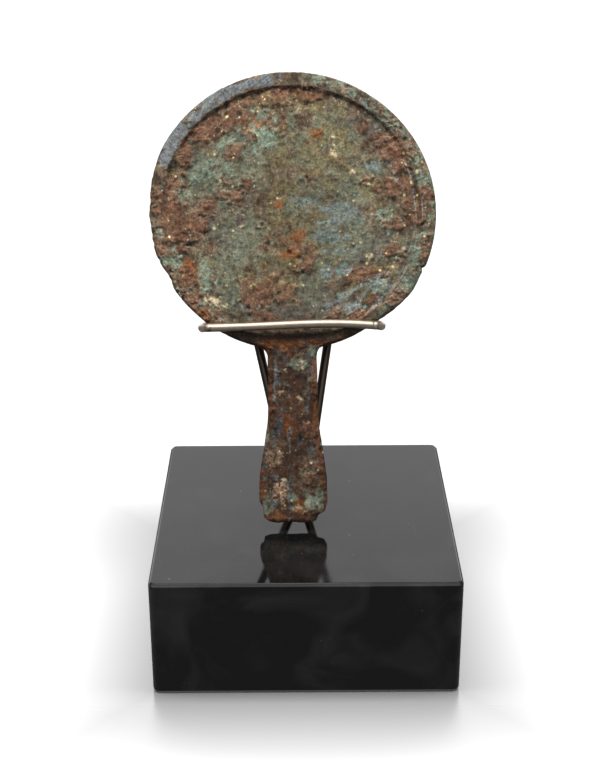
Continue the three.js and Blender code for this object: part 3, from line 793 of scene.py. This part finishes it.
def make_wire():
    """A round section carried along the wire's route: the frame across it is turned from each step to
    the next by the least turn that keeps it square to the wire. Flat cut ends close it. Its layers
    are the way along the wire and round it, and the painted shade on what lies behind the plate."""
    route = wire_route()
    tangents = np.gradient(route, axis=0)
    tangents = tangents / np.linalg.norm(tangents, axis=1, keepdims=True)
    across = np.array((1.0, 0, 0))
    frames = []
    for tangent in tangents:
        across = across - tangent * (across @ tangent)
        across = across / np.linalg.norm(across)
        frames.append((across, np.cross(tangent, across)))
    frames = np.array(frames)
    turn = np.linspace(0, 2 * np.pi, WIRE_SIDES, endpoint=False)
    cosine, sine = np.cos(turn)[None, :, None], np.sin(turn)[None, :, None]
    ring = cosine * frames[:, None, 0] + sine * frames[:, None, 1]
    points = (route[:, None] + WIRE_RADIUS * ring).reshape(-1, 3)
    number = np.arange(len(points)).reshape(len(route), WIRE_SIDES)
    turned = np.roll(number, -1, axis=1)
    quads = np.stack([number[:-1], turned[:-1], turned[1:], number[1:]], -1).reshape(-1, 4)
    ends = np.array([route[0], route[-1]])
    foot, last = len(points), len(points) + 1
    caps = np.concatenate([
        np.stack([np.full(WIRE_SIDES, foot), turned[0], number[0]], -1),
        np.stack([np.full(WIRE_SIDES, last), number[-1], turned[-1]], -1),
    ])
    wire = mesh_piece("bent_wire_cradle", np.concatenate([points, ends]), quads, caps)
    # Painted shade: each station's depth behind the plate sets how far the wire's colour is darkened there.
    plate_out = np.array((0, -math.cos(LEAN), math.sin(LEAN)))
    behind = (from_plate([(0, 0, 0)])[0] - route) @ plate_out
    haze_and_painted_shade = step_up(SHADE_FROM_BEHIND, SHADE_FULL_BEHIND, behind)
    travelled = np.concatenate([[0], np.cumsum(np.linalg.norm(np.diff(route, axis=0), axis=1))])
    add_layer(wire, "length", np.append(np.repeat(travelled, WIRE_SIDES), [0, travelled[-1]]))
    add_layer(wire, "haze_and_painted_shade", np.append(np.repeat(haze_and_painted_shade, WIRE_SIDES), [1, 1]))
    add_layer(wire, "around", np.append(np.tile(np.sin(turn), len(route)), [0, 0]))
    add_layer(wire, "around_too", np.append(np.tile(np.cos(turn), len(route)), [0, 0]))
    return wire


# Stone block


def make_block():
    """A copy of the block's own solid, its loose triangles merged and its flat faces joined, with every
    arris eased by a fine bevel as a polisher leaves it. Only the bevels are shaded smooth."""
    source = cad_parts["stone_block"]
    form = bmesh.new()
    form.from_mesh(source.data)
    bmesh.ops.remove_doubles(form, verts=form.verts, dist=1e-6)
    bmesh.ops.dissolve_limit(form, angle_limit=math.radians(1), verts=form.verts, edges=form.edges)
    sharp = [e for e in form.edges if len(e.link_faces) == 2 and e.calc_face_angle(0) > math.radians(30)]
    bmesh.ops.bevel(form, geom=sharp, offset=ARRIS * MM, segments=3, profile=0.6, affect="EDGES")
    bmesh.ops.triangulate(form, faces=[f for f in form.faces if len(f.verts) > 4])
    for face in form.faces:
        face.smooth = max(abs(part) for part in face.normal) < 0.9999
    mesh = bpy.data.meshes.new("polished_stone_block")
    form.to_mesh(mesh)
    form.free()
    block = bpy.data.objects.new("polished_stone_block", mesh)
    bpy.context.scene.collection.objects.link(block)
    return block


# Materials

# The bronze's layers, lowest first: attribute, darkest and lightest colour, roughness, metallic, the
# size in millimetres of its own mottling, how far that pushes the layer's edge about, and how much of
# what lies under it the layer hides
BRONZE_LAYERS = [
    ("slate", "#3f3b34", "#6b6a60", 0.66, 0.0, 2.2, 1.8, 0.6),
    ("sage", "#434839", "#767e69", 0.72, 0.0, 2.6, 2.0, 0.62),
    ("olive", "#483d27", "#857b55", 0.72, 0.0, 1.6, 2.2, 0.55),
    # The dark row is the handle's darker patina and also paints shade under the wire bar and on the handle.
    ("dark_patina_and_painted_shade", "#211109", "#56351f", 0.66, 0.0, 2.0, 1.2, 0.86),
    ("ochre", "#54290f", "#9a5c2c", 0.78, 0.0, 1.6, 2.4, 0.66),
    ("bare", "#434749", "#7f868a", 0.45, 0.35, 1.8, 1.8, 0.8),
    ("verdigris", "#45554a", "#869885", 0.8, 0.0, 1.6, 2.6, 0.6),
    ("crust", "#2a1a12", "#6a4a38", 0.85, 0.0, 1.9, 2.2, 0.8),
    # The smear row's pale colours also paint that highlight along the rim's wall low on the disc.
    ("smear_and_painted_highlight", "#4d5c5e", "#879999", 0.7, 0.0, 1.5, 2.4, 0.52),
    ("blue", "#1b2528", "#4c626a", 0.6, 0.0, 1.1, 2.2, 0.74),
    ("tan", "#3c261a", "#c4a588", 0.66, 0.0, 0.9, 3.0, 0.78),
    ("cream", "#6d5638", "#d6c8a4", 0.7, 0.0, 1.0, 2.6, 0.66),
]
# Loose specks: spacing in millimetres, the largest one's radius as a share of that, colour, own number
SPECKS = [
    (1.3, 0.30, "#1a120c", 60.0),
    (1.5, 0.24, "#a79d70", 64.0),
    (1.7, 0.22, "#83a093", 68.0),
    (1.4, 0.26, "#5f3526", 72.0),
    (2.2, 0.30, "#b3a774", 76.0),
    (3.0, 0.24, "#66958f", 80.0),
]


def corroded_bronze():
    """Leaded bronze, cast and then buried: a matt brown and grey-green skin, granular red cuprite crust,
    pale green and blue copper salts, cream and tan scale, ochre stain, and a bare stretch of rim that
    still has a dull metallic gloss."""
    material, tree, shader = new_material("corroded_cast_bronze")
    mottle = {"Vector": add(tree, "TexCoord", out="Object"), "Roughness": 0.72}
    skin = add(tree, "TexNoise", {**mottle, "W": 0.0, "Scale": PER_MM / 3.2, "Detail": 8},
               noise_dimensions="4D")
    colour = add(tree, "ValToRGB", {"Fac": skin}, out="Color", stops=[
        (0.36, linear("#2f241a")),
        (0.46, linear("#4c3e30")),
        (0.54, linear("#655646")),
        (0.66, linear("#85775f")),
    ])
    rough = 0.7
    metal = 0.0
    for number, layer in enumerate(BRONZE_LAYERS):
        name, deep, light, layer_rough, layer_metal, grain, ragged, hides = layer
        own_mottle = add(tree, "TexNoise", {
            **mottle, "W": 11.0 + number, "Scale": PER_MM / grain, "Detail": 7,
        }, out="Color", noise_dimensions="4D")
        push = add(tree, "SeparateColor", {"Color": own_mottle}, out="Red")
        share = add(tree, "Attribute", attribute_name=name, out="Fac")
        pushed = add(tree, "Math", (push, ragged, share), operation="MULTIPLY_ADD")
        cover = add(tree, "MapRange", (pushed, 0.40 + ragged / 2, 0.66 + ragged / 2, 0.0, hides))
        tone = add(tree, "MapRange", (push.node.outputs["Green"], 0.34, 0.66))
        own = add(tree, "Mix", (tone, linear(deep), linear(light)), data_type="RGBA")
        colour = add(tree, "Mix", (cover, colour, own), data_type="RGBA")
        rough = add(tree, "Mix", (cover, rough, layer_rough), data_type="FLOAT")
        metal = add(tree, "Mix", (cover, metal, layer_metal), data_type="FLOAT")
    for spacing, reach, tint, number in SPECKS:
        cells = add(tree, "TexVoronoi", {
            "Vector": mottle["Vector"], "W": number, "Scale": PER_MM / spacing,
        }, out="Distance", voronoi_dimensions="4D")
        chance = add(tree, "SeparateColor", {"Color": cells.node.outputs["Color"]}, out="Red")
        radius = add(tree, "MapRange", (chance, 0.3, 1.0, 0.0, reach))
        inside = add(tree, "Math", (radius, cells), operation="SUBTRACT")
        dot = add(tree, "MapRange", (inside, -0.03, 0.06, 0.0, 0.85))
        colour = add(tree, "Mix", (dot, colour, linear(tint)), data_type="RGBA")
    grit = add(tree, "TexNoise", {**mottle, "W": 5.0, "Scale": PER_MM / 0.8, "Detail": 5},
               noise_dimensions="4D")
    cloud = add(tree, "TexNoise", {**mottle, "W": 7.0, "Scale": PER_MM / 9.0, "Detail": 3},
                noise_dimensions="4D")
    relief, streaks, handle = (
        add(tree, "Attribute", attribute_name=name, out="Fac") for name in ("relief", "streaks", "dark_patina_and_painted_shade"))
    # Painted shade and light multiply the colour: the relief row darkens hollows and lightens raised grain,
    # and the handle row dims the handle partly as painted shade. The grit, cloud and streak rows are the
    # bronze's own uneven tone.
    shade = 1.0
    for value, low, high, at_low, at_high in (
        (relief, -0.25, 0.45, 0.56, 1.3),
        (grit, 0.3, 0.7, 0.22, 1.88),
        (cloud, 0.35, 0.65, 0.84, 1.14),
        (streaks, 0.25, 0.75, 0.8, 1.22),
        (handle, 0.0, 0.8, 1.0, 0.58),
    ):
        factor = add(tree, "MapRange", (value, low, high, at_low, at_high))
        shade = add(tree, "Math", (shade, factor), operation="MULTIPLY")
    colour = add(tree, "Mix", (1.0, colour, shade), data_type="RGBA", blend_type="MULTIPLY")
    pores = add(tree, "TexNoise", {**mottle, "W": 40.0, "Scale": PER_MM / 0.6, "Detail": 6},
                noise_dimensions="4D")
    bump = add(tree, "Bump", {"Height": pores, "Strength": 1.0, "Distance": 0.3 * MM})
    feed(tree, shader, {
        "Base Color": colour, "Roughness": rough, "Metallic": metal, "Normal": bump,
        "Specular IOR Level": 0.3,
    })
    return material


def drawn_wire():
    """Nickel silver wire, drawn bright and bent by hand: a warm grey mirror gloss, broken up by very fine
    lines along the wire, and darkened by painted shade on the legs behind the plate."""
    material, tree, shader = new_material("bright_drawn_wire")
    *parts, haze_and_painted_shade = (
        add(tree, "Attribute", attribute_name=name, out="Fac")
        for name in ("length", "around", "around_too", "haze_and_painted_shade"))
    place = add(tree, "CombineXYZ", parts)
    drawn = add(tree, "Mapping", {"Vector": place, "Scale": (0.06, 6.0, 6.0)})
    lines = add(tree, "TexNoise", {"Vector": drawn, "Scale": 1.0, "Detail": 4.0})
    blotch = add(tree, "TexNoise", {"Vector": place, "Scale": 0.5, "Detail": 3.0})
    colour = add(tree, "Mix", (blotch, linear("#c4b5a2"), linear("#e8d8c4")), data_type="RGBA")
    # Painted shade: the legs behind the plate are darkened, where the mirror shades them.
    colour = add(tree, "Mix", (haze_and_painted_shade, colour, linear("#4a423a")), data_type="RGBA")
    rough = add(tree, "MapRange", (lines, 0.3, 0.7, 0.30, 0.40))
    bump = add(tree, "Bump", {"Height": lines, "Strength": 0.25, "Distance": 0.02 * MM})
    feed(tree, shader, {"Base Color": colour, "Roughness": rough, "Metallic": 1.0, "Normal": bump})
    return material


def polished_stone():
    """Black gabbro, sawn and polished: a dark mirror with sparse grey flecks, fine scratches and settled
    dust. The top is wiped clean, and the sides keep a thin cloudy film."""
    material, tree, shader = new_material("polished_black_stone")
    place = add(tree, "TexCoord", out="Object")
    haze = add(tree, "TexNoise", {"Vector": place, "Scale": PER_MM / 26, "Detail": 6.0, "Distortion": 1.2})
    height = add(tree, "SeparateXYZ", {"Vector": place}, out="Z")
    sides = add(tree, "MapRange", (height, (BLOCK_HEIGHT - 0.1) * MM, (BLOCK_HEIGHT - 1) * MM))
    clean = add(tree, "Mix", (sides, linear("#0b0b0b"), linear("#1e1e1e")), data_type="RGBA")
    # Colours of the cloudy haze, on the top and on the sides.
    haze_and_painted_shade = add(tree, "Mix", (sides, linear("#1b1a1a"), linear("#454443")), data_type="RGBA")
    cloud = add(tree, "MapRange", (haze, 0.46, 0.72, 0.0, 0.7))
    colour = add(tree, "Mix", (cloud, clean, haze_and_painted_shade), data_type="RGBA")
    wiped = add(tree, "Mapping", {
        "Vector": place, "Rotation": (0.2, 0.1, 1.0), "Scale": (1500.0, 40.0, 300.0)})
    drag = add(tree, "TexNoise", {"Vector": wiped, "Scale": 1.0, "Detail": 2.0})
    scratch = add(tree, "MapRange", (drag, 0.7, 0.78, 0.0, 0.16))
    colour = add(tree, "Mix", (scratch, colour, linear("#5a5854")), data_type="RGBA")
    for spacing, reach, tint in ((1.9, 0.13, "#2e2e2c"), (6.5, 0.03, "#8a887f")):
        cells = add(tree, "TexVoronoi", {"Vector": place, "Scale": PER_MM / spacing}, out="Distance")
        dust = add(tree, "MapRange", (cells, reach, reach * 0.5))
        colour = add(tree, "Mix", (dust, colour, linear(tint)), data_type="RGBA")
    rough = add(tree, "MapRange", (haze, 0.35, 0.7, 0.03, 0.11))
    feed(tree, shader, {"Base Color": colour, "Roughness": rough, "IOR": 1.40})
    return material


def pale_floor():
    """A white glazed board: it mirrors softly what stands on it and is wiped matt in front. Its colour
    is greyer close to the block, a painted contact shadow, and it glows brighter towards the back, a
    painted light."""
    material, tree, shader = new_material("white_glazed_board")
    place = add(tree, "TexCoord", out="Object")
    far = add(tree, "VectorMath", (place,), out="Value", operation="LENGTH")
    # Painted light: the board glows, faintly close to the block and brighter towards the back.
    glow = add(tree, "MapRange", (far, 0.12, 1.3, 0.04, 0.6))
    front = add(tree, "SeparateXYZ", {"Vector": place}, out="Y")
    rough = add(tree, "MapRange", (front, -0.052, -0.1, 0.2, 0.8))
    # Painted contact shadow: the base colour is darker within a few centimetres of the block's sides.
    unsigned = add(tree, "VectorMath", (place,), operation="ABSOLUTE")
    across = add(tree, "SeparateXYZ", {"Vector": unsigned}, out="X")
    from_block = add(tree, "Math", (across, across.node.outputs["Y"]), operation="MAXIMUM")
    grey_with_painted_shadow = add(tree, "MapRange", (from_block, 0.05, 0.085, 0.22, 0.5))
    feed(tree, shader, {
        "Base Color": grey_with_painted_shadow, "Roughness": rough, "IOR": 2.7,
        "Emission Color": linear("#ffffff"), "Emission Strength": glow,
    })
    return material


# Floor and light


def make_floor():
    """A broad flat board under the block, which the stone and the bronze neither mirror nor take light
    from."""
    corners = np.array([(-1, -1, 0), (1, -1, 0), (1, 1, 0), (-1, 1, 0)]) * FLOOR_REACH
    floor = mesh_piece("floor", corners, [(0, 1, 2, 3)])
    floor.data.materials.append(pale_floor())
    floor.visible_glossy = False
    floor.visible_diffuse = False


def make_light():
    """A dim room and four lamps: a long strip overhead and a little in front, which throws crisp shadows
    downwards and soft ones sideways, a small one in front of it, a broad ceiling that only polish
    shows, and a wide pale glow far behind that the stone mirrors."""
    world = bpy.data.worlds.new("dim_room")
    world.use_nodes = True
    world.node_tree.nodes["Background"].inputs["Color"].default_value = linear("#ffffff")
    world.node_tree.nodes["Background"].inputs["Strength"].default_value = 0.2
    bpy.context.scene.world = world
    for name, place, aim, width, height, power, lights_matt, shows_in_gloss in (
        ("strip_softbox", (0, -40, 930), (0, 0, 60), 1300, 240, 19.5, True, False),
        ("small_softbox", (-60, -260, 900), (0, 0, 60), 260, 200, 0.9, True, True),
        ("ceiling_glow", (0, -300, 900), (0, 0, 60), 2400, 1300, 14.0, False, True),
        ("backdrop_glow", (0, 1700, 900), (0, 0, 300), 4200, 2200, 36.0, True, True),
    ):
        light = bpy.data.lights.new(name, "AREA")
        light.shape = "RECTANGLE"
        light.size = width * MM
        light.size_y = height * MM
        light.energy = power
        lamp = bpy.data.objects.new(name, light)
        bpy.context.scene.collection.objects.link(lamp)
        lamp.location = Vector(place) * MM
        lamp.rotation_euler = (Vector(aim) - Vector(place)).to_track_quat("-Z", "Y").to_euler()
        lamp.visible_camera = False
        lamp.visible_diffuse = lights_matt
        lamp.visible_glossy = shows_in_gloss
    bpy.context.scene.view_settings.view_transform = "Standard"


make_camera()
make_floor()
make_light()
for piece, material, node, slot in (
    (make_mirror(), corroded_bronze(), "bronze_mirror", "bronze"),
    (make_wire(), drawn_wire(), "wire_cradle", "wire"),
    (make_block(), polished_stone(), "stone_block", "stone"),
):
    piece.data.materials.clear()
    piece.data.materials.append(material)
    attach(piece, "root")
    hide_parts(node)
